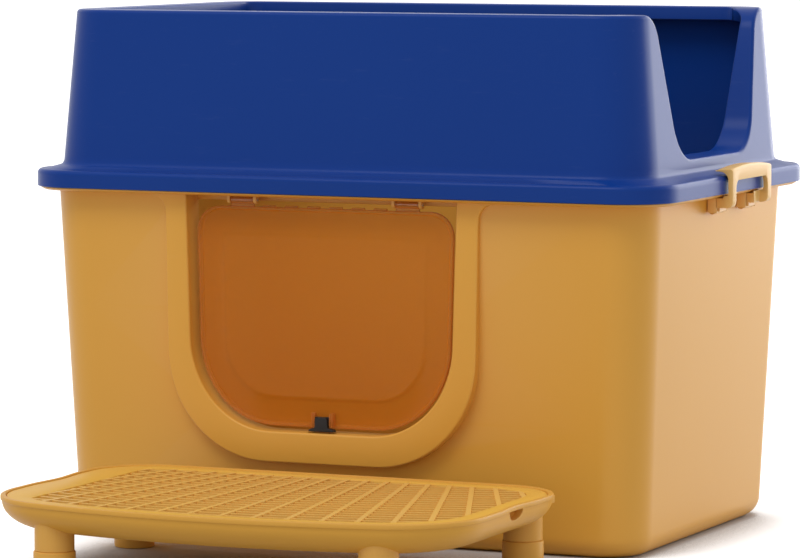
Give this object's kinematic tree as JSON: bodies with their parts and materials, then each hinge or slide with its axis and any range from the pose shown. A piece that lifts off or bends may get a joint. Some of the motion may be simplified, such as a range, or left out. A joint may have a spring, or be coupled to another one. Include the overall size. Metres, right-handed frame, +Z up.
{
  "type": "litter box",
  "caption": "Large enclosed litter box: deep tub with a clear flap door, lift-off hood with a scoop cut held by snap latches, and a low step with a catch tray under a lift-out grid.",
  "frame": {"origin": "middle of the tub's flat underside, at the level of the surface it stands on", "axes": "+X along the front to the end with the scoop cut, +Y from the door to the back, +Z up"},
  "size_m": [0.613, 0.7085, 0.4581],
  "materials": {
    "tub_yellow": "satin moulded",
    "hood_blue": "satin moulded",
    "flap_clear": "clear, lightly scuffed",
    "lock_black": "fine matt",
    "latch_yellow": "satin moulded",
    "step_yellow": "satin moulded",
    "pin_steel": "drawn wire"
  },
  "bodies": {
    "tub": {"tub": "tub_yellow", "flap_pin_left": "pin_steel", "flap_pin_right": "pin_steel", "latch_pin_left_front": "pin_steel", "latch_pin_left_back": "pin_steel", "latch_pin_right_front": "pin_steel", "latch_pin_right_back": "pin_steel"},
    "hood": {"hood": "hood_blue"},
    "flap": {"door_flap": "flap_clear"},
    "lock": {"lock_slider": "lock_black"},
    "latch_left": {"latch_left": "latch_yellow"},
    "latch_right": {"latch_right": "latch_yellow"},
    "step": {"step_tray": "step_yellow", "step_foot_front_left": "step_yellow", "step_foot_front_right": "step_yellow", "step_foot_back_left": "step_yellow", "step_foot_back_right": "step_yellow"},
    "grid": {"step_grid": "step_yellow"}
  },
  "joints": [
    {"name": "flap_swing", "type": "hinge", "parent": "tub", "child": "flap", "pos_m": [-0.015, -0.174, 0.2956], "axis": [1, 0, 0], "range_deg": [-65, 65]},
    {"name": "lock_slide", "type": "slide", "parent": "flap", "child": "lock", "axis": [0, 0, -1], "range_m": [0, 0.0065]},
    {"name": "latch_right_swing", "type": "hinge", "parent": "tub", "child": "latch_right", "pos_m": [0.2871, 0.014, 0.2882], "axis": [0, 1, 0], "range_deg": [0, 100]},
    {"name": "latch_left_swing", "type": "hinge", "parent": "tub", "child": "latch_left", "pos_m": [-0.2871, 0.014, 0.2882], "axis": [0, -1, 0], "range_deg": [0, 100]},
    {"name": "hood_lift", "type": "slide", "parent": "tub", "child": "hood", "axis": [0, 0, 1], "range_m": [0, 0.25]},
    {"name": "step_pull", "type": "slide", "parent": "tub", "child": "step", "axis": [0, -1, 0], "range_m": [-0.035, 0.215]},
    {"name": "grid_lift", "type": "slide", "parent": "step", "child": "grid", "axis": [0, 0, 1], "range_m": [0, 0.06]}
  ]
}
